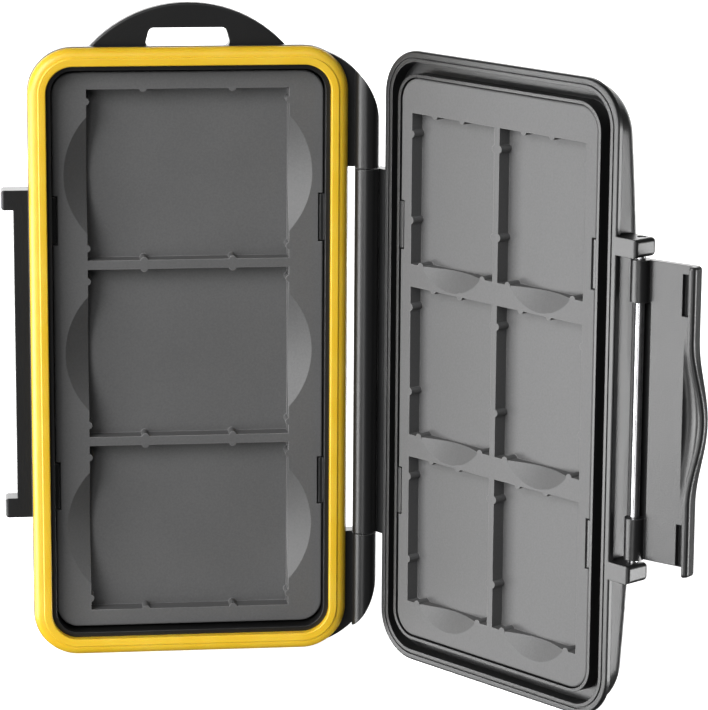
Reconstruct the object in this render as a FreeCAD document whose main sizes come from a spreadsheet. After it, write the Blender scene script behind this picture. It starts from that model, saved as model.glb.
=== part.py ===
import FreeCAD, Part
import math
import os
import re
import Sketcher

# A hard case for memory cards that opens like a book. Millimetres throughout.
# The closed case is drawn about the middle of its hinge plane: X runs towards the hinge,
# Y towards the back of the base, Z up the long side. The lid lies on the -Y side.
# At the end the lid and the latch are turned open and the whole case is stood on Z = 0.
SIZES = {
    # Outline shared by both halves
    "case_width": 68.2,
    "case_height": 133.2,
    "case_corner": 9.7,
    "flange_overhang": 0.8,
    "wall_lean": 0.5,
    "back_corner": 13.0,
    "back_round": 4.0,
    "rim_round": 0.4,
    # Base shell
    "base_back": 11.5,
    "base_floor": 2.2,
    "base_flange": 1.6,
    "lip_top": 0.35,
    "lip_wall": 1.0,
    # Gasket on the rim of the base
    "gasket_inset": 0.12,
    "gasket_width": 3.75,
    "gasket_seat": 1.2,
    "gasket_crest": 1.35,
    "gasket_bead": 2.0,
    "gasket_round": 0.3,
    "gasket_lip_gap": 0.05,
    # Lid shell
    "lid_rim": 1.5,
    "lid_back": 12.0,
    "lid_crown_drop": 4.28,
    "lid_seat": 6.6,
    "lid_flange": 1.2,
    "lid_rim_wall": 2.3,
    "channel_floor": 4.6,
    "frame_wall": 0.7,
    "frame_rise": 0.2,
    "frame_bite": 0.5,
    "rim_groove_inset": 1.25,
    "rim_groove_width": 0.3,
    "rim_groove_depth": 0.35,
    # Soft tray in the base, with three card pockets
    "cf_face": 2.8,
    "cf_side_gap": 5.1,
    "cf_end_gap": 5.6,
    "cf_corner": 4.7,
    "cf_side": 7.43,
    "cf_end": 3.69,
    "cf_rib": 1.99,
    "cf_slot_depth": 3.8,
    "cf_scoop_gap": 0.04,
    "cf_scoop_reach": 5.0,
    "cf_scoop_drop": 2.8,
    "cf_nub_across": 9.5,
    "cf_nub_end": 2.6,
    # Soft tray in the lid, with six card pockets
    "sd_face": 1.3,
    "sd_side_gap": 5.45,
    "sd_end_gap": 5.7,
    "sd_corner": 5.0,
    "sd_side": 3.265,
    "sd_end": 7.46,
    "sd_post": 1.55,
    "sd_rib": 4.87,
    "sd_slot_depth": 3.0,
    "sd_scoop_gap": 1.105,
    "sd_scoop_reach": 4.4,
    "sd_scoop_drop": 2.2,
    "sd_nub_top_near": 5.4,
    "sd_nub_top_far": 2.7,
    "sd_nub_from_side": 2.955,
    "sd_nub_from_top": 4.49,
    "sd_nub_from_bottom": 9.39,
    "tray_round": 0.4,
    "tray_gap": 0.25,
    "nub_radius": 0.8,
    "nub_proud": 0.65,
    # Snap tabs that hold the trays
    "tab_place": 29.2,
    "tab_length": 10.1,
    "tab_thickness": 1.2,
    "tab_sink": 0.1,
    "tab_reach": 0.85,
    "tab_round": 0.3,
    "tab_gap": 0.3,
    "tab_ledge_gap": 0.1,
    # Hinge
    "hinge_out": 3.9,
    "hinge_barrel": 2.6,
    "hinge_pin_radius": 1.0,
    "hinge_pin_inset": 12.1,
    "hinge_running": 0.05,
    "lid_knuckle_half": 40.2,
    "knuckle_gap": 0.2,
    "wing_corner": 17.0,
    "wing_drop": 0.45,
    "wing_root": 10.0,
    "web_front": 1.25,
    "web_back": 4.6,
    "lid_web_front": 1.65,
    "lid_web_back": 4.2,
    "lid_web_root": 1.5,
    # Catch rail and its end stops on the base
    "rail_proud": 3.2,
    "rail_back": 6.4,
    "catch_front": 1.3,
    "catch_root": 2.0,
    "stop_proud": 5.8,
    "stop_back": 6.0,
    "stop_height": 4.25,
    "stop_gap": 0.6,
    "stop_bite": 1.0,
    "catch_rise": 0.3,
    "block_round": 0.7,
    # Latch and its pin
    "latch_pin_out": 3.2,
    "latch_pin_ahead": 5.4,
    "latch_pin_radius": 0.95,
    "latch_pin_half": 35.4,
    "latch_running": 0.05,
    "latch_half": 31.1,
    "latch_barrel_length": 8.7,
    "lug_gap": 0.7,
    "lug_height": 3.8,
    "lug_wall": 1.25,
    "lug_root": 1.5,
    "lug_round": 0.9,
    "plate_half": 31.0,
    "plate_thickness": 1.6,
    "plate_gap": 0.45,
    "trough_reach": 2.4,
    "trough_radius": 1.45,
    "trough_front": 0.3,
    "plate_end": 10.4,
    "hook_gap": 0.2,
    "hook_width": 1.4,
    "hook_proud": 1.5,
    "hook_half": 31.9,
    "hook_drop": 0.85,
    "hook_round": 0.85,
    "hook_back_round": 0.6,
    "hook_foot_round": 0.2,
    "hook_end_round": 0.7,
    "hook_bite": 0.3,
    "window_near": 9.7,
    "window_low": 21.45,
    "window_high": 30.0,
    "window_floor": 0.5,
    "lift_half": 17.0,
    "lift_reach": 2.0,
    "lift_bulge": 0.6,
    "lift_dip": 0.9,
    "lift_dip_least": 0.02,
    # Carrying loop
    "loop_radius": 28.2,
    "loop_rise": 9.0,
    "loop_front": 3.0,
    "loop_thickness": 3.0,
    "loop_root": 3.0,
    "loop_slot_sink": 0.5,
    "loop_slot_rise": 3.7,
    "loop_slot_wide": 18.5,
    "loop_slot_narrow": 16.2,
    "loop_slot_round": 1.2,
    "loop_edge_round": 0.5,
    # How far a cutting block runs past the face that it cuts
    "cut_over": 1.0,
}
# How far each moving piece stands open, in degrees
TURNS = {
    "lid_open_angle": 125.6,
    "latch_open_angle": 99.8,
}
# Sizes that follow from the ones above
FITTED = {
    "hinge_place": "case_width / 2 + hinge_out",
    "hinge_pin_half": "case_height / 2 - hinge_pin_inset",
    "latch_pin_place": "case_width / 2 + latch_pin_out",
    "loop_top": "case_height / 2 + loop_rise",
    "loop_slot_low": "case_height / 2 - loop_slot_sink",
    "loop_slot_high": "case_height / 2 + loop_slot_rise",
    "lid_crown": "(case_height * case_height / 4 + lid_crown_drop * lid_crown_drop) / (2 * lid_crown_drop)",
    "cf_width": "case_width - 2 * cf_side_gap",
    "cf_height": "case_height - 2 * cf_end_gap",
    "cf_slot_width": "cf_width - 2 * cf_side",
    "cf_slot_height": "(cf_height - 2 * cf_end - 2 * cf_rib) / 3",
    "cf_pitch": "cf_slot_height + cf_rib",
    "cf_scoop_radius": "cf_slot_height / 2 - cf_scoop_gap",
    "sd_width": "case_width - 2 * sd_side_gap",
    "sd_height": "case_height - 2 * sd_end_gap",
    "sd_slot_width": "(sd_width - 2 * sd_side - sd_post) / 2",
    "sd_slot_height": "(sd_height - 2 * sd_end - 2 * sd_rib) / 3",
    "sd_column_pitch": "sd_slot_width + sd_post",
    "sd_row_pitch": "sd_slot_height + sd_rib",
    "sd_scoop_radius": "sd_slot_width / 2 - sd_scoop_gap",
    "sd_nub_bottom": "sd_slot_width / 2 - sd_nub_from_side",
    "sd_nub_high": "sd_slot_height / 2 - sd_nub_from_top",
    "sd_nub_low": "sd_slot_height / 2 - sd_nub_from_bottom",
}
LIFT_STATIONS = 8
END_TURNS = (0, 30, 60, 90)
# Shares of the rounding at the hook's ends that its near side, its faces and its corners take up
NEAR_SHARE = 0.2
FACE_SHARE = 0.5
CORNER_SHARE = 0.7
BACK_CORNER = "back_corner + flange_overhang + wall_lean"

doc = FreeCAD.newDocument("memory_card_case")
dim = doc.addObject("Spreadsheet::Sheet", "dim")
DRIVEN = {**SIZES, **TURNS}
for row, (alias, amount) in enumerate(DRIVEN.items(), start=1):
    dim.set(f"A{row}", alias)
    dim.set(f"B{row}", str(amount))
    dim.setAlias(f"B{row}", alias)
doc.recompute()


# Tying sizes to the sheet

def tied(expression):
    """The expression with every size name pointing at its cell of the sheet."""
    return re.sub(r"[a-z_]+", lambda word: pointed(word[0]), str(expression))


def pointed(name):
    """A size's cell, or what a fitted size is worked out from."""
    if name in FITTED:
        return f"({tied(FITTED[name])})"
    return f"dim.{name}" if name in DRIVEN else name


def bind(item, **formulas):
    for name, formula in formulas.items():
        item.setExpression(name, tied(formula))


def put(item, x, y, z):
    for axis, formula in zip("xyz", (x, y, z)):
        item.setExpression(f"Placement.Base.{axis}", tied(formula))


def size(expression):
    return float(dim.evalExpression(tied(expression)))


# Solids and booleans

def box(name, low, high):
    item = doc.addObject("Part::Box", name)
    spans = [f"({top}) - ({bottom})" for bottom, top in zip(low, high)]
    bind(item, Length=spans[0], Width=spans[1], Height=spans[2])
    put(item, *low)
    return item


def upright(name, radius, x, y, low, high):
    item = doc.addObject("Part::Cylinder", name)
    bind(item, Radius=radius, Height=f"({high}) - ({low})")
    put(item, x, y, low)
    return item


def turned_to_back(item, towards_back=True):
    quarter = FreeCAD.Rotation(FreeCAD.Vector(1, 0, 0), -90 if towards_back else 90)
    item.Placement = FreeCAD.Placement(FreeCAD.Vector(), quarter)


def fuse(name, pieces):
    item = doc.addObject("Part::MultiFuse", name)
    item.Shapes = pieces
    return item


def cut(name, base, tools):
    item = doc.addObject("Part::Cut", name)
    item.Base = base
    item.Tool = tools[0] if len(tools) == 1 else fuse(name + "_tools", tools)
    return item


def common(name, first, second):
    item = doc.addObject("Part::Common", name)
    item.Base = first
    item.Tool = second
    return item


def rounded(name, base, radius, wanted):
    """The base with a fillet on each edge that the test picks."""
    doc.recompute()
    item = doc.addObject("Part::Fillet", name)
    item.Base = base
    amount = size(radius)
    picked = [place for place, edge in enumerate(base.Shape.Edges, 1) if wanted(edge)]
    item.Edges = [(place, amount, amount) for place in picked]
    return item


def lies_at(edge, axis, place, slack=1e-4):
    bounds = edge.BoundBox
    low = getattr(bounds, axis + "Min")
    high = getattr(bounds, axis + "Max")
    return abs(low - place) < slack and abs(high - place) < slack


# Rounded rectangles, centred on the case, in planes square to Y

def origin_plane(body, role):
    return next(item for item in body.Origin.OriginFeatures if item.Role == role)


def draw_rounded_rectangle(sketch, width, height, corner):
    half_wide = size(width) / 2
    half_high = size(height) / 2
    radius = size(corner)
    reach = half_wide - radius
    rise = half_high - radius
    ends = [
        ((-reach, half_high), (reach, half_high)),
        ((half_wide, rise), (half_wide, -rise)),
        ((reach, -half_high), (-reach, -half_high)),
        ((-half_wide, -rise), (-half_wide, rise)),
    ]
    centres = [(reach, rise), (reach, -rise), (-reach, -rise), (-reach, rise)]
    starts = [0, 270, 180, 90]
    normal = FreeCAD.Vector(0, 0, 1)
    for start, end in ends:
        sketch.addGeometry(Part.LineSegment(FreeCAD.Vector(*start, 0), FreeCAD.Vector(*end, 0)), False)
    for centre, start in zip(centres, starts):
        circle = Part.Circle(FreeCAD.Vector(*centre, 0), normal, radius)
        arc = Part.ArcOfCircle(circle, math.radians(start), math.radians(start + 90))
        sketch.addGeometry(arc, False)
    for side in range(4):
        arc = side + 4
        sketch.addConstraint(Sketcher.Constraint("Tangent", side, 2, arc, 2))
        sketch.addConstraint(Sketcher.Constraint("Tangent", arc, 1, (side + 1) % 4, 1))
    for side, direction in enumerate(("Horizontal", "Vertical", "Horizontal", "Vertical")):
        sketch.addConstraint(Sketcher.Constraint(direction, side))
    for arc in (5, 6, 7):
        sketch.addConstraint(Sketcher.Constraint("Equal", 4, arc))
    sketch.addConstraint(Sketcher.Constraint("Symmetric", 0, 1, 2, 1, -1, 1))
    measures = [
        ("wide", Sketcher.Constraint("DistanceX", 3, 1, 1, 1, 2 * half_wide), width),
        ("high", Sketcher.Constraint("DistanceY", 2, 1, 0, 1, 2 * half_high), height),
        ("corner", Sketcher.Constraint("Radius", 4, radius), corner),
    ]
    for name, constraint, formula in measures:
        place = sketch.addConstraint(constraint)
        sketch.renameConstraint(place, name)
        sketch.setExpression("Constraints." + name, tied(formula))


def sketched_outline(body, name, outline, depth):
    sketch = body.newObject("Sketcher::SketchObject", name)
    sketch.AttachmentSupport = [(origin_plane(body, "XZ_Plane"), "")]
    sketch.MapMode = "FlatFace"
    sketch.setExpression("AttachmentOffset.Base.z", tied(f"-({depth})"))
    draw_rounded_rectangle(sketch, *outline)
    return sketch


def slab(name, outline, front, back):
    """A rounded plate from one depth to another."""
    body = doc.addObject("PartDesign::Body", name)
    sketch = sketched_outline(body, name + "_outline", outline, front)
    pad = body.newObject("PartDesign::Pad", name + "_pad")
    pad.Profile = sketch
    to_back = size(back) > size(front)
    pad.Reversed = to_back
    bind(pad, Length=f"({back}) - ({front})" if to_back else f"({front}) - ({back})")
    doc.recompute()
    return body


def leaning_block(name, front, back):
    """The outside of a half: it narrows a little towards its back, most of all at the corners."""
    body = doc.addObject("PartDesign::Body", name)
    rim = sketched_outline(body, name + "_rim", inset("flange_overhang"), front)
    far_outline = inset("flange_overhang + wall_lean", corner=BACK_CORNER)
    far = sketched_outline(body, name + "_far", far_outline, back)
    loft = body.newObject("PartDesign::AdditiveLoft", name + "_loft")
    first, last = (far, rim) if size(back) > size(front) else (rim, far)
    loft.Profile = first
    loft.Sections = [last]
    loft.Ruled = True
    doc.recompute()
    return body


def inset(amount, width="case_width", height="case_height", corner="case_corner"):
    """The outline of a width, height and corner, moved inwards by an amount."""
    return (f"({width}) - 2 * ({amount})", f"({height}) - 2 * ({amount})", f"({corner}) - ({amount})")


def round_body(body, radius, depth):
    """A fillet on all the edges of a body that lie at one depth."""
    base = body.Tip
    level = size(depth)
    names = [f"Edge{place}" for place, edge in enumerate(base.Shape.Edges, 1) if lies_at(edge, "Y", level)]
    fillet = body.newObject("PartDesign::Fillet", body.Name + "_" + radius)
    fillet.Base = (base, names)
    bind(fillet, Radius=radius)
    doc.recompute()


def tab_blocks(name, wall, reach, top, bottom, longer="0"):
    """Four blocks at the places of the snap tabs, from the wall inwards."""
    blocks = []
    for side in (1, -1):
        for level in (1, -1):
            ends = sorted((f"{side} * ({wall})", f"{side} * ({reach})"), key=size)
            half = f"(tab_length / 2 + ({longer}))"
            low = (ends[0], top, f"{level} * tab_place - {half}")
            high = (ends[1], bottom, f"{level} * tab_place + {half}")
            blocks.append(box(f"{name}_{len(blocks) + 1}", low, high))
    return blocks


def rounded_tabs(blocks, reach):
    """The tab blocks with their inner ends rounded."""
    tip = size(reach)
    tabs = []
    for block in blocks:
        tabs.append(
            rounded(
                block.Name + "_tip",
                block,
                "tab_round",
                lambda edge: lies_at(edge, "X", tip) or lies_at(edge, "X", -tip),
            )
        )
    return tabs


# Base shell: drafted tub with a flange, hinge knuckles, catch rail, carrying loop and snap tabs

case_top = "case_height / 2"
case_side = "case_width / 2"
gasket_inner = "gasket_inset + gasket_width"
lip_outer = f"{gasket_inner} + gasket_lip_gap"
cavity_inset = f"{lip_outer} + lip_wall"
base_floor_top = "base_back - base_floor"

base_wall = leaning_block("base_wall", "gasket_seat", "base_back")
round_body(base_wall, "back_round", "base_back")
base_flange = slab("base_flange_plate", inset("0"), "gasket_seat", "gasket_seat + base_flange")
base_lip = slab("base_lip", inset(lip_outer), "lip_top", "gasket_seat + base_flange")
base_cavity = slab("base_cavity", inset(cavity_inset), "lip_top - cut_over", base_floor_top)

wing_outline = ("2 * (hinge_place + hinge_barrel)", "case_height - 2 * wing_drop", "wing_corner")
wing = slab("hinge_wing", wing_outline, "-hinge_barrel", "web_back")
base_barrel = upright("base_barrel", "hinge_barrel", "hinge_place", 0, f"-{case_top}", case_top)
web_low = ("case_width / 2 - wing_root", "web_front", f"-{case_top}")
base_web = box("base_web", web_low, ("hinge_place", "web_back", case_top))
hinge_block = common("hinge_block", fuse("hinge_stock", [base_barrel, base_web]), wing)
split_half = "lid_knuckle_half + knuckle_gap"
split_low = (f"{case_side} - flange_overhang - rim_round", "-2 * hinge_barrel", f"-({split_half})")
split_high = ("hinge_place + 2 * hinge_barrel", "web_back + cut_over", split_half)
base_knuckles = cut("base_knuckles", hinge_block, [box("knuckle_split", split_low, split_high)])

catch_start = f"-({case_side} - catch_root)"
stop_inner = "(plate_half + stop_gap)"
stop_outer = f"({stop_inner} + stop_height)"
rail = box(
    "catch_rail",
    (f"-({case_side} + rail_proud)", "catch_front", f"catch_rise - {stop_inner} - stop_bite"),
    (catch_start, "rail_back", f"catch_rise + {stop_inner} + stop_bite"),
)
catch_pieces = [rail]
stop_face = -size(f"{case_side} + stop_proud")
stop_spans = {"upper": (stop_inner, stop_outer), "lower": ("-" + stop_outer, "-" + stop_inner)}
for level, (low, high) in stop_spans.items():
    block = box(
        f"{level}_stop_block",
        (f"-({case_side} + stop_proud)", "catch_front", f"catch_rise + {low}"),
        (catch_start, "stop_back", f"catch_rise + {high}"),
    )
    stop = rounded(f"{level}_stop", block, "block_round", lambda edge: lies_at(edge, "X", stop_face))
    catch_pieces.append(stop)

loop_disc = doc.addObject("Part::Cylinder", "loop_disc")
turned_to_back(loop_disc)
bind(loop_disc, Radius="loop_radius", Height="loop_thickness")
put(loop_disc, 0, "loop_front", "loop_top - loop_radius")
loop_stock = box(
    "loop_stock",
    ("-loop_radius", "loop_front", f"{case_top} - loop_root"),
    ("loop_radius", "loop_front + loop_thickness", "loop_top + cut_over"),
)
loop_plate = common("loop_plate", loop_disc, loop_stock)
loop_sides = [size("loop_front"), size("loop_front + loop_thickness")]
loop_curve = size("loop_radius")


def loop_edge(edge, slack=1e-4):
    flat = any(lies_at(edge, "Y", side) for side in loop_sides)
    return flat and hasattr(edge.Curve, "Radius") and abs(edge.Curve.Radius - loop_curve) < slack


loop = rounded("loop", loop_plate, "loop_edge_round", loop_edge)
slot_wedge = doc.addObject("Part::Wedge", "loop_slot_wedge")
slot_wedge.Placement.Rotation = FreeCAD.Rotation(FreeCAD.Vector(1, 0, 0), 90)
bind(slot_wedge, Xmin="-loop_slot_wide / 2", Xmax="loop_slot_wide / 2")
bind(slot_wedge, X2min="-loop_slot_narrow / 2", X2max="loop_slot_narrow / 2")
bind(slot_wedge, Ymin="0", Ymax="loop_slot_high - loop_slot_low")
bind(slot_wedge, Zmin="0", Zmax="loop_thickness + 2 * cut_over")
bind(slot_wedge, Z2min="0", Z2max="loop_thickness + 2 * cut_over")
put(slot_wedge, 0, "loop_front + loop_thickness + cut_over", "loop_slot_low")
slot_length = size("loop_thickness + 2 * cut_over")


def along_slot(edge, slack=1e-4):
    return abs(edge.BoundBox.YLength - slot_length) < slack


loop_slot = rounded("loop_slot", slot_wedge, "loop_slot_round", along_slot)

base_bore = upright(
    "base_bore", "hinge_pin_radius", "hinge_place", 0, f"-{case_top} - cut_over", "hinge_pin_half"
)
base_stock = fuse("base_stock", [base_wall, base_flange, base_lip, base_knuckles, loop] + catch_pieces)
base_hollow = cut("base_hollow", base_stock, [base_cavity, base_bore, loop_slot])
cavity_side = f"{case_side} - ({cavity_inset})"
cf_edge = "cf_width / 2"
cf_tab_top = "cf_face + tab_sink"
base_tabs = tab_blocks(
    "base_tab",
    f"{cavity_side} + lip_wall / 2",
    f"{cf_edge} - tab_reach",
    cf_tab_top,
    f"{cf_tab_top} + tab_thickness",
)
base_shell = fuse("base_shell", [base_hollow] + rounded_tabs(base_tabs, f"{cf_edge} - tab_reach"))

# Gasket: one ring of soft rubber with a round outer bead and a higher inner bead

gasket_path = doc.addObject("Sketcher::SketchObject", "gasket_path")
upright_turn = FreeCAD.Rotation(FreeCAD.Vector(1, 0, 0), 90)
gasket_path.Placement = FreeCAD.Placement(FreeCAD.Vector(), upright_turn)
draw_rounded_rectangle(gasket_path, *inset("gasket_inset"))
outer_z = size(f"{case_top} - gasket_inset")
inner_z = size(f"{case_top} - ({gasket_inner})")
crease_z = outer_z - size("gasket_bead")
seat_y = size("gasket_seat")
crest_y = -size("gasket_crest")
edge_round = size("gasket_round")
crease_y = crest_y + edge_round
bead_y = crease_y + size("gasket_bead")
path_start = -size(f"{case_side} - case_corner")


def section_point(y, z):
    return FreeCAD.Vector(path_start, y, z)


def section_arc(centre_y, centre_z, radius, start, end):
    """An arc of the gasket's section; angles turn from outwards (0) to the front (90)."""
    points = []
    for angle in (start, (start + end) / 2, end):
        turn = math.radians(angle)
        y = centre_y - radius * math.sin(turn)
        points.append(section_point(y, centre_z + radius * math.cos(turn)))
    return Part.Arc(*points).toShape()


def section_line(start, end):
    return Part.LineSegment(section_point(*start), section_point(*end)).toShape()


section_edges = [
    section_line((seat_y, inner_z), (seat_y, outer_z)),
    section_line((seat_y, outer_z), (bead_y, outer_z)),
    section_arc(bead_y, crease_z, outer_z - crease_z, 0, 90),
    section_arc(crease_y, crease_z - edge_round, edge_round, 0, 90),
    section_line((crest_y, crease_z - edge_round), (crest_y, inner_z + edge_round)),
    section_arc(crease_y, inner_z + edge_round, edge_round, 90, 180),
    section_line((crease_y, inner_z), (seat_y, inner_z)),
]
gasket_section = doc.addObject("Part::Feature", "gasket_section")
gasket_section.Shape = Part.Wire(section_edges)
doc.recompute()
gasket = doc.addObject("Part::Sweep", "gasket")
gasket.Sections = [gasket_section]
gasket.Spine = (gasket_path, [f"Edge{place}" for place in range(1, len(gasket_path.Shape.Edges) + 1)])
gasket.Solid = True
gasket.Frenet = False


# Trays: soft blocks with card pockets, finger scoops and small nubs that grip the cards

def tray_block(name, outline, face, floor):
    body = slab(name, outline, face, floor)
    round_body(body, "tray_round", face)
    return body


def dish(name, x, z, face, radius, reach, drop, depth, towards_back):
    """A cone-sided scoop that ends at the pocket's floor."""
    item = doc.addObject("Part::Cone", name)
    turned_to_back(item, towards_back)
    bind(item, Radius1=radius, Radius2=f"{radius} - {reach} * {depth} / {drop}", Height=depth)
    put(item, x, face, z)
    return item


def nub(name, x, z, face, depth, towards_back):
    item = doc.addObject("Part::Cylinder", name)
    turned_to_back(item, towards_back)
    bind(item, Radius="nub_radius", Height=depth)
    put(item, x, face, z)
    return item


cf_tools = []
cf_nubs = []
nub_back = "(nub_radius - nub_proud)"
for place in (1, 0, -1):
    row_z = f"{place} * cf_pitch"
    cf_tools.append(
        box(
            f"cf_pocket_{place + 2}",
            ("-cf_slot_width / 2", "cf_face - cut_over", f"{row_z} - cf_slot_height / 2"),
            ("cf_slot_width / 2", "cf_face + cf_slot_depth", f"{row_z} + cf_slot_height / 2"),
        )
    )
    for side in (1, -1):
        scoop_x = f"{side} * (cf_slot_width / 2 + cf_scoop_reach - cf_scoop_radius)"
        scoop_sizes = ("cf_scoop_radius", "cf_scoop_reach", "cf_scoop_drop", "cf_slot_depth")
        cf_tools.append(dish(f"cf_scoop_{len(cf_tools)}", scoop_x, row_z, "cf_face", *scoop_sizes, True))
        for level in (1, -1):
            edge_spots = [
                (f"{side} * cf_nub_across", f"{row_z} + {level} * (cf_slot_height / 2 + {nub_back})"),
                (
                    f"{side} * (cf_slot_width / 2 + {nub_back})",
                    f"{row_z} + {level} * (cf_slot_height / 2 - cf_nub_end)",
                ),
            ]
            for x, z in edge_spots:
                cf_nubs.append(nub(f"cf_nub_{len(cf_nubs) + 1}", x, z, "cf_face", "cf_slot_depth", True))

cf_block = tray_block("cf_block", ("cf_width", "cf_height", "cf_corner"), "cf_face", base_floor_top)
cf_notches = tab_blocks(
    "cf_notch",
    f"{cf_edge} + cut_over",
    f"{cf_edge} - tab_reach - tab_gap",
    "cf_face - cut_over",
    f"{cf_tab_top} + tab_thickness + tab_ledge_gap",
    "tab_gap",
)
cf_pockets = cut("cf_pockets", cf_block, cf_tools + cf_notches)
cf_insert = fuse("cf_insert", [cf_pockets] + cf_nubs)

# Lid shell: drafted tub with a rim, a seal channel round an inner frame, a knuckle and two latch lugs

lid_floor_top = "-lid_seat"
sd_outline = ("sd_width", "sd_height", "sd_corner")
lid_stock_wall = leaning_block("lid_stock_wall", "-lid_rim", "-lid_back")
crown = doc.addObject("Part::Cylinder", "lid_crown_drum")
crown.Placement.Rotation = FreeCAD.Rotation(FreeCAD.Vector(0, 1, 0), 90)
bind(crown, Radius="lid_crown", Height="2 * case_width")
put(crown, "-case_width", "lid_crown - lid_back", 0)
lid_crowned = common("lid_crowned", lid_stock_wall, crown)
crown_edge = -size("lid_back - back_round")
lid_wall = rounded("lid_wall", lid_crowned, "back_round", lambda edge: edge.BoundBox.YMax < crown_edge)
lid_flange = slab("lid_flange_plate", inset("0"), "-lid_rim", "-(lid_rim + lid_flange)")
round_body(lid_flange, "rim_round", "-lid_rim")
channel = slab("seal_channel", inset("lid_rim_wall"), "-lid_rim + cut_over", "-channel_floor")
frame_outline = inset("-(tray_gap + frame_wall)", *sd_outline)
frame_front = "-(sd_face - frame_rise)"
frame_block = slab("frame_block", frame_outline, frame_front, "-channel_floor - frame_bite")
tray_seat = slab("tray_seat", inset("-tray_gap", *sd_outline), "-lid_rim + 2 * cut_over", lid_floor_top)
groove_front = "-lid_rim + cut_over"
groove_inside = inset("rim_groove_inset + rim_groove_width")
groove_inner = slab("groove_inner", groove_inside, groove_front, "-lid_back")
groove_outer = slab("groove_outer", inset("rim_groove_inset"), groove_front, "-(lid_rim + rim_groove_depth)")
rim_groove = cut("rim_groove", groove_outer, [groove_inner])

lid_barrel = upright(
    "lid_barrel", "hinge_barrel", "hinge_place", 0, "-lid_knuckle_half", "lid_knuckle_half"
)
lid_web = box(
    "lid_web",
    (f"{case_side} - lid_web_root", "-lid_web_back", "-lid_knuckle_half"),
    ("hinge_place", "-lid_web_front", "lid_knuckle_half"),
)
lid_bore = upright(
    "lid_bore",
    "hinge_pin_radius + hinge_running",
    "hinge_place",
    0,
    "-lid_knuckle_half - cut_over",
    "lid_knuckle_half + cut_over",
)

lug_reach = "(latch_pin_radius + lug_wall)"
lug_inner = "(latch_half + lug_gap)"
lug_outer = f"({lug_inner} + lug_height)"
lug_pieces = []
lug_face = -size(f"latch_pin_place + {lug_reach}")
lug_back = -size(f"latch_pin_ahead + {lug_reach}")


def on_lug_outside(edge):
    return lies_at(edge, "X", lug_face) or lies_at(edge, "Y", lug_back)


lug_spans = {"upper": (lug_inner, lug_outer), "lower": ("-" + lug_outer, "-" + lug_inner)}
for level, (low, high) in lug_spans.items():
    block = box(
        f"{level}_lug_block",
        (f"-(latch_pin_place + {lug_reach})", f"-(latch_pin_ahead + {lug_reach})", low),
        (f"-({case_side} - lug_root)", "-lid_rim", high),
    )
    lug_pieces.append(rounded(f"{level}_lug", block, "lug_round", on_lug_outside))
lug_bore = upright(
    "lug_bore",
    "latch_pin_radius",
    "-latch_pin_place",
    "-latch_pin_ahead",
    "-latch_pin_half",
    f"{lug_outer} + cut_over",
)

lid_stock = fuse("lid_stock", [lid_wall, lid_flange, lid_barrel, lid_web] + lug_pieces)
lid_hollow = cut("lid_hollow", lid_stock, [channel, rim_groove, lid_bore, lug_bore])
lid_framed = cut("lid_framed", fuse("lid_and_frame", [lid_hollow, frame_block]), [tray_seat])
sd_edge = "sd_width / 2"
sd_tab_top = "-(sd_face + tab_sink)"
lid_tabs = tab_blocks(
    "lid_tab",
    f"{sd_edge} + tray_gap + frame_wall / 2",
    f"{sd_edge} - tab_reach",
    f"{sd_tab_top} - tab_thickness",
    sd_tab_top,
)
lid_shell = fuse("lid_shell", [lid_framed] + rounded_tabs(lid_tabs, f"{sd_edge} - tab_reach"))

sd_tools = []
sd_nubs = []
for column in (1, -1):
    for row in (1, 0, -1):
        middle_x = f"{column} * sd_column_pitch / 2"
        middle_z = f"{row} * sd_row_pitch"
        bottom_z = f"({middle_z} - sd_slot_height / 2)"
        pocket_top = f"{middle_z} + sd_slot_height / 2"
        sd_tools.append(
            box(
                f"sd_pocket_{len(sd_tools) + 1}",
                (f"{middle_x} - sd_slot_width / 2", "-(sd_face + sd_slot_depth)", bottom_z),
                (f"{middle_x} + sd_slot_width / 2", "-sd_face + cut_over", pocket_top),
            )
        )
        scoop_z = f"{bottom_z} - sd_scoop_reach + sd_scoop_radius"
        scoop_sizes = ("sd_scoop_radius", "sd_scoop_reach", "sd_scoop_drop", "sd_slot_depth")
        sd_tools.append(dish(f"sd_scoop_{len(sd_tools)}", middle_x, scoop_z, "-sd_face", *scoop_sizes, False))
        top_z = f"{pocket_top} + {nub_back}"
        low_z = f"{middle_z} - sd_slot_height / 2 - {nub_back}"
        side_x = f"(sd_slot_width / 2 + {nub_back})"
        spots = [
            (f"{middle_x} + sd_nub_top_near", top_z),
            (f"{middle_x} - sd_nub_top_far", top_z),
            (f"{middle_x} + sd_nub_bottom", low_z),
            (f"{middle_x} - sd_nub_bottom", low_z),
            (f"{middle_x} + {side_x}", f"{middle_z} + sd_nub_high"),
            (f"{middle_x} + {side_x}", f"{middle_z} - sd_nub_low"),
            (f"{middle_x} - {side_x}", f"{middle_z} + sd_nub_high"),
            (f"{middle_x} - {side_x}", f"{middle_z} - sd_nub_low"),
        ]
        for x, z in spots:
            sd_nubs.append(nub(f"sd_nub_{len(sd_nubs) + 1}", x, z, "-sd_face", "sd_slot_depth", False))

sd_block = tray_block("sd_block", sd_outline, "-sd_face", lid_floor_top)
sd_notches = tab_blocks(
    "sd_notch",
    f"{sd_edge} + cut_over",
    f"{sd_edge} - tab_reach - tab_gap",
    f"{sd_tab_top} - tab_thickness - tab_ledge_gap",
    "-sd_face + cut_over",
    "tab_gap",
)
sd_pockets = cut("sd_pockets", sd_block, sd_tools + sd_notches)
sd_insert = fuse("sd_insert", [sd_pockets] + sd_nubs)

# Steel pins

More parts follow.
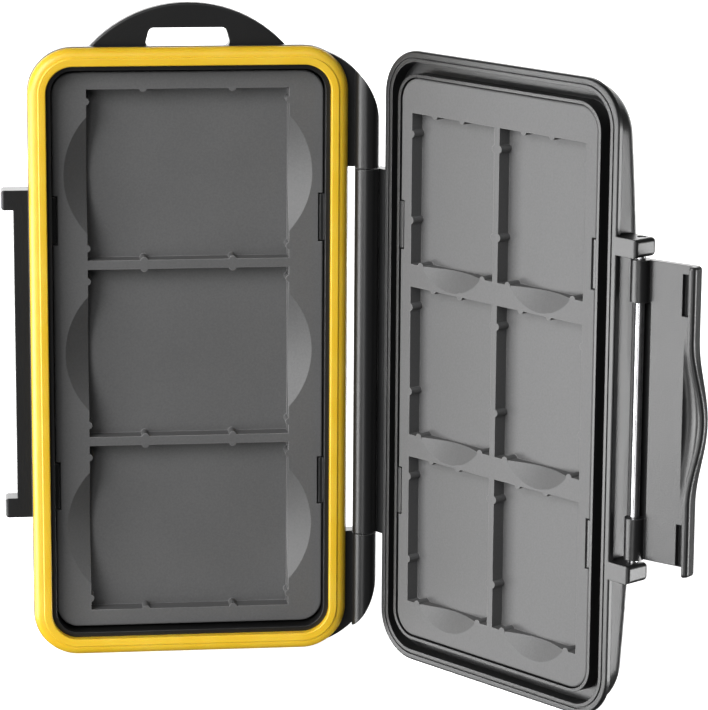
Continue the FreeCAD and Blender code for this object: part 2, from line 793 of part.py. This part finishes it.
hinge_pin = upright("hinge_pin", "hinge_pin_radius", "hinge_place", 0, "-hinge_pin_half", "hinge_pin_half")
latch_pin = upright(
    "latch_pin",
    "latch_pin_radius",
    "-latch_pin_place",
    "-latch_pin_ahead",
    "-latch_pin_half",
    "latch_pin_half",
)

# Latch: a barrel on the pin, open in its middle, a flat plate, a hook along the free edge and a finger lift
# Inside the latch, "along" runs from the pin to the free edge and "in" runs towards the closed case.

pin_x = "-latch_pin_place"
pin_y = "-latch_pin_ahead"
plate_in = f"(latch_pin_place - {case_side} - rail_proud - plate_gap)"
plate_out = f"({plate_in} - plate_thickness)"
hook_near = "(latch_pin_ahead + rail_back + hook_gap)"

latch_barrel = upright("latch_barrel", f"-{plate_out}", pin_x, pin_y, "-latch_half", "latch_half")
plate = box(
    "latch_plate",
    (f"{pin_x} + {plate_out}", pin_y, "-plate_half"),
    (f"{pin_x} + {plate_in}", f"{pin_y} + plate_end", "plate_half"),
)
trough_half = "(latch_half - latch_barrel_length)"
trough_pieces = [
    upright("trough_round", "trough_radius", pin_x, pin_y, f"-{trough_half}", trough_half),
    box(
        "trough_floor",
        (f"{pin_x} - trough_radius", pin_y, f"-{trough_half}"),
        (f"{pin_x} - {plate_out} + cut_over", f"{pin_y} + trough_reach", trough_half),
    ),
    box(
        "trough_mouth",
        (f"{pin_x} - trough_front", f"{pin_y} + {plate_out} - cut_over", f"-{trough_half}"),
        (f"{pin_x} - {plate_out} + cut_over", f"{pin_y} + trough_reach", trough_half),
    ),
]
side_plates = []
for level in (1, -1):
    ends = sorted((f"{level} * lift_half - hook_drop", f"{level} * plate_half"), key=size)
    side_plates.append(
        box(
            f"side_plate_{len(side_plates) + 1}",
            (f"{pin_x} + {plate_out}", f"{pin_y} + plate_end", ends[0]),
            (f"{pin_x} + {plate_in}", f"{pin_y} + {hook_near} + hook_bite", ends[1]),
        )
    )


def latch_point(along, inward, z):
    """A point of the hook or the finger lift; heights count from the middle of the hook."""
    return FreeCAD.Vector(size(pin_x) + inward, size(pin_y) + along, z - size("hook_drop"))


def lift_at(z):
    """How far the finger lift has swung out at a height: 0 at its ends, 1 in the middle."""
    return (1 + math.cos(math.pi * z / size("lift_half"))) / 2


def hook_wire(z, shrink=0.0):
    """The hook's section at a height, a rectangle with four round corners."""
    lift = lift_at(z) if abs(z) < size("lift_half") else 0.0
    near = size(hook_near) + lift * size("lift_reach") + NEAR_SHARE * shrink
    far = size(hook_near + " + hook_width") + lift * size("lift_reach") - shrink
    top = size(plate_in + " + hook_proud") - lift * size("hook_proud") - FACE_SHARE * shrink
    back = size(plate_out) - lift * size("lift_bulge") + FACE_SHARE * shrink
    corners = [
        (near, top, "hook_foot_round", 180),
        (far, top, "hook_round", 90),
        (far, back, "hook_back_round", 0),
        (near, back, "hook_foot_round", 270),
    ]
    arcs = []
    for along, inward, radius_name, start in corners:
        radius = size(radius_name) * (1 - CORNER_SHARE * shrink)
        centre_along = along + radius if along == near else along - radius
        centre_in = inward - radius if inward == top else inward + radius
        points = []
        for angle in (start, start - 45, start - 90):
            turn = math.radians(angle)
            inward_place = centre_in + radius * math.sin(turn)
            points.append((centre_along + radius * math.cos(turn), inward_place))
        arcs.append(points)
    edges = []
    for place, points in enumerate(arcs):
        edges.append(Part.Arc(*[latch_point(a, i, z) for a, i in points]).toShape())
        start = latch_point(*points[-1], z)
        end = latch_point(*arcs[(place + 1) % len(arcs)][0], z)
        edges.append(Part.LineSegment(start, end).toShape())
    return Part.Wire(edges)


def lift_wire(z):
    """The finger lift's section at a height: a plate with a hollow on its inner side."""
    lift = lift_at(z)
    near = size("plate_end")
    far = size(hook_near + " + hook_bite") + lift * size("lift_reach")
    flat = size(plate_in)
    back = size(plate_out)
    bulged = back - lift * size("lift_bulge")
    dip = size("lift_dip_least") + lift * size("lift_dip")
    middle = latch_point((near + far) / 2, flat - dip, z)
    corners = [latch_point(a, i, z) for a, i in ((near, flat), (far, flat), (far, bulged), (near, back))]
    edges = [Part.Arc(corners[0], middle, corners[1]).toShape()]
    for start, end in zip(corners[1:], corners[2:] + corners[:1]):
        edges.append(Part.LineSegment(start, end).toShape())
    return Part.Wire(edges)


lift_half = size("lift_half")
lift_steps = [lift_half * step / LIFT_STATIONS for step in range(-LIFT_STATIONS, LIFT_STATIONS + 1)]
hook_half = size("hook_half")
end_round = size("hook_end_round")
hook_middle = doc.addObject("Part::Feature", "hook_middle")
hook_middle.Shape = Part.makeLoft([hook_wire(z) for z in lift_steps], True, False)
finger_lift = doc.addObject("Part::Feature", "finger_lift")
finger_lift.Shape = Part.makeLoft([lift_wire(z) for z in lift_steps], True, False)
hook_ends = []
for level in (1, -1):
    stations = [(lift_half, 0.0)]
    for turn in END_TURNS:
        angle = math.radians(turn)
        height = hook_half - end_round * (1 - math.sin(angle))
        stations.append((height, end_round * (1 - math.cos(angle))))
    wires = [hook_wire(level * z, shrink) for z, shrink in stations]
    hook_end = doc.addObject("Part::Feature", f"hook_end_{len(hook_ends) + 1}")
    hook_end.Shape = Part.makeLoft(wires, True, True)
    hook_ends.append(hook_end)

latch_bore = upright(
    "latch_bore",
    "latch_pin_radius + latch_running",
    pin_x,
    pin_y,
    "-latch_half - cut_over",
    "latch_half + cut_over",
)
windows = []
for level in (1, -1):
    ends = sorted((f"{level} * window_low - hook_drop", f"{level} * window_high - hook_drop"), key=size)
    windows.append(
        box(
            f"latch_window_{len(windows) + 1}",
            (f"{pin_x} + {plate_out} + window_floor", f"{pin_y} + window_near", ends[0]),
            (f"{pin_x} + {plate_in} + cut_over", f"{pin_y} + {hook_near}", ends[1]),
        )
    )
latch_stock = fuse(
    "latch_stock", [plate, latch_barrel, hook_middle, finger_lift] + side_plates + hook_ends
)
latch = cut("latch", latch_stock, [latch_bore] + trough_pieces + windows)

# The pieces, turned to where the photographed case stands open, with its lowest edge on Z = 0

def check_states():
    failed = [item.Label for item in doc.Objects if "Invalid" in item.State or "Error" in item.State]
    if failed:
        raise RuntimeError("failed to build: " + ", ".join(failed))


doc.recompute()
check_states()
up = FreeCAD.Vector(0, 0, 1)
at_hinge = FreeCAD.Vector(size("hinge_place"), 0, 0)
at_latch_pin = FreeCAD.Vector(size(pin_x), size(pin_y), 0)
lid_swing = FreeCAD.Rotation(up, size("lid_open_angle"))
latch_swing = FreeCAD.Rotation(up, size("latch_open_angle"))
lid_turn = FreeCAD.Placement(FreeCAD.Vector(), lid_swing, at_hinge)
latch_turn = FreeCAD.Placement(FreeCAD.Vector(), latch_swing, at_latch_pin)
turns = {
    "base_shell": FreeCAD.Placement(),
    "gasket": FreeCAD.Placement(),
    "cf_insert": FreeCAD.Placement(),
    "hinge_pin": FreeCAD.Placement(),
    "lid_shell": lid_turn,
    "sd_insert": lid_turn,
    "latch_pin": lid_turn,
    "latch": lid_turn.multiply(latch_turn),
}
pieces = {name: doc.getObject(name) for name in turns}
bounds = FreeCAD.BoundBox()
for name, turn in turns.items():
    shape = pieces[name].Shape.copy()
    shape.transformShape(turn.toMatrix())
    bounds.add(shape.optimalBoundingBox(False, False))
foot = FreeCAD.Vector(-bounds.Center.x, -bounds.Center.y, -bounds.ZMin)
stand = FreeCAD.Placement(foot, FreeCAD.Rotation())
for name, piece in pieces.items():
    piece.Label = name
    for axis in "xyz":
        piece.setExpression(f"Placement.Base.{axis}", None)
    piece.Placement = stand.multiply(turns[name]).multiply(piece.Placement)
doc.recompute()

check_states()
for name, piece in pieces.items():
    if piece.Shape.isNull() or not piece.Shape.isValid():
        raise RuntimeError(f"{name} has no valid shape")

os.makedirs("parts", exist_ok=True)
for name, piece in pieces.items():
    piece.Shape.exportStep(f"parts/{name}.step")
    print(name, len(piece.Shape.Solids), round(piece.Shape.Volume, 1), piece.Shape.BoundBox)
print("moved by", stand.Base)
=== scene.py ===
import bmesh
import bpy
import math
from mathutils import Euler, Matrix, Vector


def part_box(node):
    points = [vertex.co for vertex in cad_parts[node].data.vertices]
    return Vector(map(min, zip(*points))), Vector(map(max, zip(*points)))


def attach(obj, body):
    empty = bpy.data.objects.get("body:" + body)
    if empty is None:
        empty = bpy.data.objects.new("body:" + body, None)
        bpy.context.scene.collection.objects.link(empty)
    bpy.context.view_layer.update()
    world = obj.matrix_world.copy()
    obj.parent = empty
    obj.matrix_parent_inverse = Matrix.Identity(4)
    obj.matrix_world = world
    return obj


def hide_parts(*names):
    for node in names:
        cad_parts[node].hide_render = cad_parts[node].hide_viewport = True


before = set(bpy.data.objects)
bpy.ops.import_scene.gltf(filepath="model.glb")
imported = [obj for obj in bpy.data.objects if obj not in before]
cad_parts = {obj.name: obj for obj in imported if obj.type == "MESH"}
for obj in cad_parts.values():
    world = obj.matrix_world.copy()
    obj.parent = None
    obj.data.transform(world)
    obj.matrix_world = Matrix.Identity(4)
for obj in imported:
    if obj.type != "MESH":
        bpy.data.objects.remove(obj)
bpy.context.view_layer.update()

# Base shell: the half of the case that carries the seal, injection moulded in black plastic.
# Flange, hinge knuckles, catch rail, carrying loop and snap tabs come out of the same mould,
# so it is one piece whose edges are only slightly broken by the tool.

MM = 0.001
WELD = 0.0005 * MM
SHARP_ANGLE = math.radians(20)
EDGE_ROUND = 0.2 * MM
EDGE_SAMPLES = 6
EDGE_WEAR_AND_SHEEN_REACH = 0.35 * MM
EDGE_SHARE_TURN = (0.01, 0.16)
EDGE_WEAR_AND_SHEEN_PATCHES = (0.3, 0.7)
RUB_POLISH = 0.06
CLOUD_GRAINS = 45
CLOUD_SHARE = 0.35
MOTTLE_SPAN = (0.25, 0.75)
MOTTLE_DARK = 0.8
GRAIN_STRENGTH = 0.5
SHELL_BLACK = (0.0095, 0.0096, 0.0099, 1)
# Edge colour of the shell: partly rub wear, partly a painted highlight along the edges.
SHELL_WORN_AND_LIT_EDGE = (0.05, 0.05, 0.051, 1)
SHELL_GRAIN = 0.36 * MM
SHELL_RELIEF = 0.04 * MM
SHELL_ROUGHNESS = (0.29, 0.37)


class Wire:
    """One socket of a finish. Sums and products of wires add the Math nodes that work them out."""

    COLOUR_A = 6
    COLOUR_B = 7
    COLOUR_MIXED = 2

    def __init__(self, tree, socket=None):
        self.tree = tree
        self.socket = socket

    def add(self, kind, settings=None, sockets=None, out=0):
        """A new node with its settings and its socket values or wires; gives back one of its outputs."""
        node = self.tree.nodes.new(kind)
        for name, value in (settings or {}).items():
            setattr(node, name, value)
        for name, value in (sockets or {}).items():
            if isinstance(value, Wire):
                self.tree.links.new(value.socket, node.inputs[name])
            else:
                node.inputs[name].default_value = value
        return Wire(self.tree, node.outputs[out])

    def maths(self, operation, first, second=0.0):
        return self.add("ShaderNodeMath", {"operation": operation}, {0: first, 1: second})

    def __add__(self, other):
        return self.maths("ADD", self, other)

    __radd__ = __add__

    def __sub__(self, other):
        return self.maths("SUBTRACT", self, other)

    def __rsub__(self, other):
        return self.maths("SUBTRACT", other, self)

    def __mul__(self, other):
        return self.maths("MULTIPLY", self, other)

    __rmul__ = __mul__

    def clamped(self, low, high):
        """The share of the way from low to high, smooth at both ends."""
        settings = {"interpolation_type": "SMOOTHSTEP"}
        sockets = {"Value": self, "From Min": low, "From Max": high}
        return self.add("ShaderNodeMapRange", settings, sockets)

    def between(self, first, second):
        """A colour that goes from the first to the second with this wire as its share."""
        sockets = {"Factor": self, self.COLOUR_A: first, self.COLOUR_B: second}
        return self.add("ShaderNodeMix", {"data_type": "RGBA"}, sockets, out=self.COLOUR_MIXED)


def new_finish(name):
    """An empty material, with a wire on its tree and the shader that the finish feeds."""
    finish = bpy.data.materials.new(name)
    finish.use_nodes = True
    tree = finish.node_tree
    tree.nodes.clear()
    shader = tree.nodes.new("ShaderNodeBsdfPrincipled")
    output = tree.nodes.new("ShaderNodeOutputMaterial")
    tree.links.new(shader.outputs[0], output.inputs["Surface"])
    return finish, Wire(tree), shader


def feed(wire, shader, name):
    """Joins a wire to one of the shader's inputs."""
    wire.tree.links.new(wire.socket, shader.inputs[name])


def speckle(start, place, size, detail=2.0):
    """Noise whose lumps have a real size."""
    sockets = {"Vector": place, "Scale": 1 / size, "Detail": detail}
    return start.add("ShaderNodeTexNoise", sockets=sockets)


def broken_edge(start, radius):
    """The surface's direction, turned smoothly round each edge that the mould has broken."""
    return start.add("ShaderNodeBevel", {"samples": EDGE_SAMPLES}, {"Radius": radius})


def edge_share(start, radius):
    """1 on a rounded edge, 0 on the flats: how far a rounded normal leaves the true one."""
    true = start.add("ShaderNodeNewGeometry", out="Normal")
    sides = {0: broken_edge(start, radius), 1: true}
    same = start.add("ShaderNodeVectorMath", {"operation": "DOT_PRODUCT"}, sides, out="Value")
    return (1 - same).clamped(*EDGE_SHARE_TURN)


def moulded_finish(name, colour, paler_edges, grain, roughness, relief):
    """Moulded plastic: an eroded mould's fine grain, cloudy gloss, and edges that hands have polished,
    painted lighter for rub wear and for a painted edge highlight.
    """
    finish, start, shader = new_finish(name)
    place = start.add("ShaderNodeTexCoord", out="Object")
    fine = speckle(start, place, grain)
    cloud = speckle(start, place, CLOUD_GRAINS * grain, detail=4.0)
    # Edge mask: rub wear plus a painted highlight, laid in patches along the edges.
    worn_and_lit_edges = edge_share(start, EDGE_WEAR_AND_SHEEN_REACH) * cloud.clamped(*EDGE_WEAR_AND_SHEEN_PATCHES)
    mottled = (CLOUD_SHARE * cloud + (1 - CLOUD_SHARE) * fine).clamped(*MOTTLE_SPAN)
    darker = tuple(MOTTLE_DARK * part for part in colour[:3]) + (1,)
    body_colour = mottled.between(darker, colour)
    feed(worn_and_lit_edges.between(body_colour, paler_edges), shader, "Base Color")
    low, high = roughness
    rough = low + (high - low) * (0.5 * fine + 0.5 * cloud) - RUB_POLISH * worn_and_lit_edges
    feed(rough, shader, "Roughness")
    edges = broken_edge(start, EDGE_ROUND)
    sockets = {"Strength": GRAIN_STRENGTH, "Distance": relief, "Height": fine, "Normal": edges}
    feed(start.add("ShaderNodeBump", sockets=sockets), shader, "Normal")
    return finish


def plain_mesh(piece):
    """Turns a piece and its modifiers into a plain mesh."""
    graph = bpy.context.evaluated_depsgraph_get()
    made = bpy.data.meshes.new_from_object(piece.evaluated_get(graph))
    piece.modifiers.clear()
    piece.data = made
    return piece


def new_piece(name, mesh):
    """A mesh as an object of the scene, at the origin."""
    piece = bpy.data.objects.new(name, mesh)
    bpy.context.scene.collection.objects.link(piece)
    return piece


def dressed(node, name, finish):
    """A welded copy of a solid whose flat faces stay flat and whose round ones shade smoothly."""
    work = bmesh.new()
    work.from_mesh(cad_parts[node].data)
    bmesh.ops.remove_doubles(work, verts=work.verts, dist=WELD)
    work.verts.index_update()
    places = [vertex.co.copy() for vertex in work.verts]
    faces = [[vertex.index for vertex in face.verts] for face in work.faces]
    work.free()
    mesh = bpy.data.meshes.new(name)
    mesh.from_pydata(places, [], faces)
    mesh.materials.append(finish)
    mesh.shade_smooth()
    mesh.set_sharp_from_angle(angle=SHARP_ANGLE)
    piece = new_piece(name, mesh)
    flats = piece.modifiers.new("flats", "WEIGHTED_NORMAL")
    flats.keep_sharp = True
    return plain_mesh(piece)


shell_finish = moulded_finish(
    "black_shell_plastic", SHELL_BLACK, SHELL_WORN_AND_LIT_EDGE, SHELL_GRAIN, SHELL_ROUGHNESS, SHELL_RELIEF
)
base_tub = dressed("base_shell", "base_tub", shell_finish)
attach(base_tub, "base")
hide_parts("base_shell")

# Gasket: one closed ring of yellow silicone rubber, pressed onto the flange round the lip.
# It has a broad round bead outside and a flat-topped bead inside, with a moulded crease between them.

GASKET_WIDTH = 3.75 * MM
OUTER_BEAD = 2.0 * MM
BEAD_ROUND = 0.3 * MM
GASKET_CORNER = 9.58 * MM
CORNER_STEPS = 24
ARC_STEPS = 10
GASKET_YELLOW = (0.68, 0.43, 0.018, 1)
GASKET_PALE = (0.76, 0.53, 0.055, 1)
GASKET_GRAIN = 0.12 * MM
GASKET_DIMPLE = 0.01 * MM
GASKET_CLOUD = 9 * MM
GASKET_SHEEN_REACH = 0.3 * MM
GASKET_ROUGHNESS = 0.27
LIGHT_INSIDE = 0.35
LIGHT_REACH = (1.2 * MM, 0.7 * MM, 0.2 * MM)
UPRIGHT_TURN = (math.radians(-90), 0, 0)


def arc(centre, radius, start, end, steps=ARC_STEPS):
    """Points of an arc in the section; angles turn from outwards to the front."""
    points = []
    for step in range(steps + 1):
        turn = math.radians(start + (end - start) * step / steps)
        points.append((centre[0] + radius * math.cos(turn), centre[1] + radius * math.sin(turn)))
    return points


def gasket_section(height):
    """The ring's section: how far in from the outer edge (negative), and how far in front of the seat."""
    shoulder = height - BEAD_ROUND
    outer = arc((-OUTER_BEAD, shoulder - OUTER_BEAD), OUTER_BEAD, 0, 90)
    step = arc((-OUTER_BEAD - BEAD_ROUND, shoulder), BEAD_ROUND, 0, 90)
    inner = arc((-GASKET_WIDTH + BEAD_ROUND, shoulder), BEAD_ROUND, 90, 180)
    return [(0, 0)] + outer + step[1:] + inner + [(-GASKET_WIDTH, 0)]


def ring_tree():
    """Sweeps the section that it is given along a rounded rectangle, stood upright."""
    tree = bpy.data.node_groups.new("gasket_ring", "GeometryNodeTree")
    kinds = {"Section": "Geometry", "Corner Steps": "Int", "Place": "Vector", "Rubber": "Material"}
    for name in ("Section", "Width", "Height", "Corner", "Corner Steps", "Place", "Rubber"):
        kind = "NodeSocket" + kinds.get(name, "Float")
        tree.interface.new_socket(name, in_out="INPUT", socket_type=kind)
    tree.interface.new_socket("Ring", in_out="OUTPUT", socket_type="NodeSocketGeometry")
    given = tree.nodes.new("NodeGroupInput")

    def step(kind, settings, links):
        node = tree.nodes.new(kind)
        for name, value in settings.items():
            setattr(node, name, value)
        for name, source in links.items():
            tree.links.new(source, node.inputs[name])
        return node

    outline = step(
        "GeometryNodeCurvePrimitiveQuadrilateral", {},
        {"Width": given.outputs["Width"], "Height": given.outputs["Height"]},
    )
    path = step(
        "GeometryNodeFilletCurve", {"mode": "POLY"},
        {
            "Curve": outline.outputs[0],
            "Radius": given.outputs["Corner"],
            "Count": given.outputs["Corner Steps"],
        },
    )
    level = step("GeometryNodeSetCurveNormal", {"mode": "Z_UP"}, {"Curve": path.outputs[0]})
    section = step("GeometryNodeMeshToCurve", {}, {"Mesh": given.outputs["Section"]})
    swept = step(
        "GeometryNodeCurveToMesh", {},
        {"Curve": level.outputs[0], "Profile Curve": section.outputs[0]},
    )
    upright = step(
        "GeometryNodeTransform", {},
        {"Geometry": swept.outputs[0], "Translation": given.outputs["Place"]},
    )
    upright.inputs["Rotation"].default_value = UPRIGHT_TURN
    real = step("GeometryNodeRealizeInstances", {}, {"Geometry": upright.outputs[0]})
    painted = step(
        "GeometryNodeSetMaterial", {},
        {"Geometry": real.outputs[0], "Material": given.outputs["Rubber"]},
    )
    step("NodeGroupOutput", {}, {"Ring": painted.outputs[0]})
    return tree


def rubber_finish(name):
    """Silicone rubber: a little light goes in, a satin skin, and dust-fine dimples from the mould."""
    finish, start, shader = new_finish(name)
    place = start.add("ShaderNodeTexCoord", out="Object")
    fine = speckle(start, place, GASKET_GRAIN)
    cloud = speckle(start, place, GASKET_CLOUD, detail=3.0)
    # Rounded edges are painted paler: a painted sheen along them.
    paler_edges = edge_share(start, GASKET_SHEEN_REACH)
    tone = (0.6 * cloud + 0.25 * fine + 0.25 * paler_edges).clamped(0.3, 0.8)
    feed(tone.between(GASKET_YELLOW, GASKET_PALE), shader, "Base Color")
    feed(GASKET_ROUGHNESS + 0.12 * cloud + 0.06 * fine, shader, "Roughness")
    shader.inputs["Subsurface Weight"].default_value = LIGHT_INSIDE
    shader.inputs["Subsurface Radius"].default_value = LIGHT_REACH
    dimples = {"Strength": 0.35, "Distance": GASKET_DIMPLE, "Height": fine}
    feed(start.add("ShaderNodeBump", sockets=dimples), shader, "Normal")
    return finish


gasket_low, gasket_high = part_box("gasket")
gasket_span = gasket_high - gasket_low
gasket_middle = (gasket_low + gasket_high) / 2
section_points = gasket_section(gasket_span.y)
section_mesh = bpy.data.meshes.new("gasket_section")
section_lines = [(step, (step + 1) % len(section_points)) for step in range(len(section_points))]
section_mesh.from_pydata([(x, y, 0) for x, y in section_points], section_lines, [])
rim_gasket = new_piece("rim_gasket", section_mesh)
ring = rim_gasket.modifiers.new("ring", "NODES")
ring.node_group = ring_tree()
ring_sizes = {
    "Width": gasket_span.x,
    "Height": gasket_span.z,
    "Corner": GASKET_CORNER,
    "Corner Steps": CORNER_STEPS,
    "Place": (gasket_middle.x, gasket_high.y, gasket_middle.z),
    "Rubber": rubber_finish("yellow_rubber"),
}
for socket in ring.node_group.interface.items_tree:
    if socket.name in ring_sizes:
        ring[socket.identifier] = ring_sizes[socket.name]
plain_mesh(rim_gasket)
ring_faces = bmesh.new()
ring_faces.from_mesh(rim_gasket.data)
bmesh.ops.recalc_face_normals(ring_faces, faces=ring_faces.faces)
ring_faces.to_mesh(rim_gasket.data)
ring_faces.free()
rim_gasket.data.shade_smooth()
rim_gasket.data.set_sharp_from_angle(angle=SHARP_ANGLE)
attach(rim_gasket, "base")
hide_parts("gasket")

# Base tray: a soft dark grey block with three large card pockets, pressed into the base.
# Four snap tabs of the shell hold it at its long sides. Small nubs in each pocket grip the card.

TRAY_GREY = (0.092, 0.092, 0.093, 1)
# Edge colour of the trays: partly rub wear, partly a painted highlight along the outlines.
TRAY_WORN_AND_LIT_EDGE = (0.19, 0.19, 0.19, 1)
TRAY_GRAIN = 0.42 * MM
TRAY_RELIEF = 0.05 * MM
TRAY_ROUGHNESS = (0.50, 0.62)

tray_finish = moulded_finish(
    "grey_tray_plastic", TRAY_GREY, TRAY_WORN_AND_LIT_EDGE, TRAY_GRAIN, TRAY_ROUGHNESS, TRAY_RELIEF
)
base_tray = dressed("cf_insert", "base_tray", tray_finish)
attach(base_tray, "base")
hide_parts("cf_insert")

# Hinge pin: a plain drawn steel rod that runs up through the knuckles of both halves.
# It is pressed into the base's two knuckles, which hide its ends, and the lid's long one turns on it.

STEEL_BRIGHT = (0.62, 0.62, 0.63, 1)
STEEL_DULL = (0.42, 0.42, 0.43, 1)
STEEL_CLOUD = 6 * MM
STEEL_ROUGHNESS = 0.20
LINE_WIDTH = 0.09 * MM
LINE_DEPTH = 0.004 * MM
LINE_STRETCH = (1, 1, 0.02)


def drawn_steel_finish(name):
    """Bright drawn steel, with fine lines along the rod."""
    finish, start, shader = new_finish(name)
    place = start.add("ShaderNodeTexCoord", out="Object")
    drawn = start.add("ShaderNodeMapping", sockets={"Vector": place, "Scale": LINE_STRETCH})
    lines = speckle(start, drawn, LINE_WIDTH, detail=3.0)
    cloud = speckle(start, place, STEEL_CLOUD)
    tone = (0.7 * lines + 0.3 * cloud).clamped(0.3, 0.7)
    feed(tone.between(STEEL_DULL, STEEL_BRIGHT), shader, "Base Color")
    shader.inputs["Metallic"].default_value = 1.0
    feed(STEEL_ROUGHNESS + 0.12 * lines + 0.05 * cloud, shader, "Roughness")
    scratches = {"Strength": 0.3, "Distance": LINE_DEPTH, "Height": lines}
    feed(start.add("ShaderNodeBump", sockets=scratches), shader, "Normal")
    return finish


steel_finish = drawn_steel_finish("drawn_steel")
hinge_rod = dressed("hinge_pin", "hinge_rod", steel_finish)
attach(hinge_rod, "base")
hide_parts("hinge_pin")

# Lid shell: the second half, with a gently crowned back, moulded in the same black plastic.
# A channel round its inner frame meets the gasket, and two lugs on its free side carry the latch pin.

lid_tub = dressed("lid_shell", "lid_tub", shell_finish)
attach(lid_tub, "lid")
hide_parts("lid_shell")

# Lid tray: the same soft grey as the base tray, with six small card pockets in two columns.
# It sits in the lid's inner frame, held by four snap tabs.

lid_tray = dressed("sd_insert", "lid_tray", tray_finish)
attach(lid_tray, "lid")
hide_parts("sd_insert")

# Latch pin: a rod of the same steel, pressed through the two lugs of the lid.
# The latch's barrels turn on it, and its middle shows between them.

latch_rod = dressed("latch_pin", "latch_rod", steel_finish)
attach(latch_rod, "lid")
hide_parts("latch_pin")

# Latch: one black moulding that turns on the pin. A hook along its free edge snaps behind the
# catch rail, and the edge swells outwards in the middle as a finger lift.

latch_bar = dressed("latch", "latch_bar", shell_finish)
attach(latch_bar, "latch")
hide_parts("latch")

# Floor and light: a white table, a key box high at the left, a low wide strip at the far left, small
# low boxes at the right and in front, a weak box above in front, and a wide one behind for the backs.
# The camera stands where the picture was taken from.

FLOOR_HALF = 8.0
FLOOR_GLOW = 0.93
FLOOR_WHITE = (0.9, 0.9, 0.9, 1)
FLOOR_ROUGHNESS = 0.9
PURE_WHITE = (1, 1, 1, 1)
SURROUND = 0.06
SOFT_BOXES = {
    "key_box": {"place": (-0.901, -0.679, 0.48), "size": (0.8, 1.0), "glow": 8.9},
    "left_box": {"place": (-1.15, -0.02, -0.2), "size": (0.95, 0.36), "glow": 12.5},
    "right_box": {"place": (0.961, -0.276, -0.17), "size": (0.42, 0.45), "glow": 15.5},
    "front_box": {"place": (-0.15, -1.0, 0.9), "size": (1.4, 0.8), "glow": 1.3},
    "low_box": {"place": (-0.407, -0.914, -0.17), "size": (0.24, 0.36), "glow": 4.4},
    "back_box": {"place": (0.1, 1.5, 0.15), "size": (3.0, 1.6), "glow": 3.0},
}
AIM = Vector((0, 0, 0.07))
CAMERA_PLACE = (-0.081224, -0.706822, 0.233602)
CAMERA_TURN = (77.2368, -0.3704, -6.6868)
CAMERA_LENS = 178.105
SENSOR = 36.0

floor_mesh = bpy.data.meshes.new("floor")
floor_corners = [(-FLOOR_HALF, -FLOOR_HALF, 0), (FLOOR_HALF, -FLOOR_HALF, 0)]
floor_corners += [(FLOOR_HALF, FLOOR_HALF, 0), (-FLOOR_HALF, FLOOR_HALF, 0)]
floor_mesh.from_pydata(floor_corners, [], [(0, 1, 2, 3)])
floor_finish, _, floor_shader = new_finish("white_table")
floor_shader.inputs["Base Color"].default_value = FLOOR_WHITE
floor_shader.inputs["Roughness"].default_value = FLOOR_ROUGHNESS
floor_shader.inputs["Emission Color"].default_value = PURE_WHITE
floor_shader.inputs["Emission Strength"].default_value = FLOOR_GLOW
floor_mesh.materials.append(floor_finish)
floor = new_piece("floor", floor_mesh)
floor.visible_glossy = False
floor.visible_diffuse = False
floor.visible_shadow = False

world = bpy.data.worlds.new("studio")
world.use_nodes = True
surround = world.node_tree.nodes["Background"]
surround.inputs["Color"].default_value = PURE_WHITE
surround.inputs["Strength"].default_value = SURROUND
bpy.context.scene.world = world

for name, soft_box in SOFT_BOXES.items():
    wide, high = soft_box["size"]
    lamp = bpy.data.lights.new(name, "AREA")
    lamp.shape = "RECTANGLE"
    lamp.size = wide
    lamp.size_y = high
    lamp.energy = soft_box["glow"] * math.pi * wide * high
    holder = bpy.data.objects.new(name, lamp)
    holder.location = soft_box["place"]
    holder.rotation_euler = (AIM - Vector(soft_box["place"])).to_track_quat("-Z", "Y").to_euler()
    bpy.context.scene.collection.objects.link(holder)

camera_data = bpy.data.cameras.new("camera")
camera_data.lens = CAMERA_LENS
camera_data.sensor_width = SENSOR
camera = bpy.data.objects.new("camera", camera_data)
camera.location = CAMERA_PLACE
camera.rotation_euler = Euler([math.radians(turn) for turn in CAMERA_TURN])
bpy.context.scene.collection.objects.link(camera)
bpy.context.scene.camera = camera
bpy.context.scene.view_settings.view_transform = "Standard"
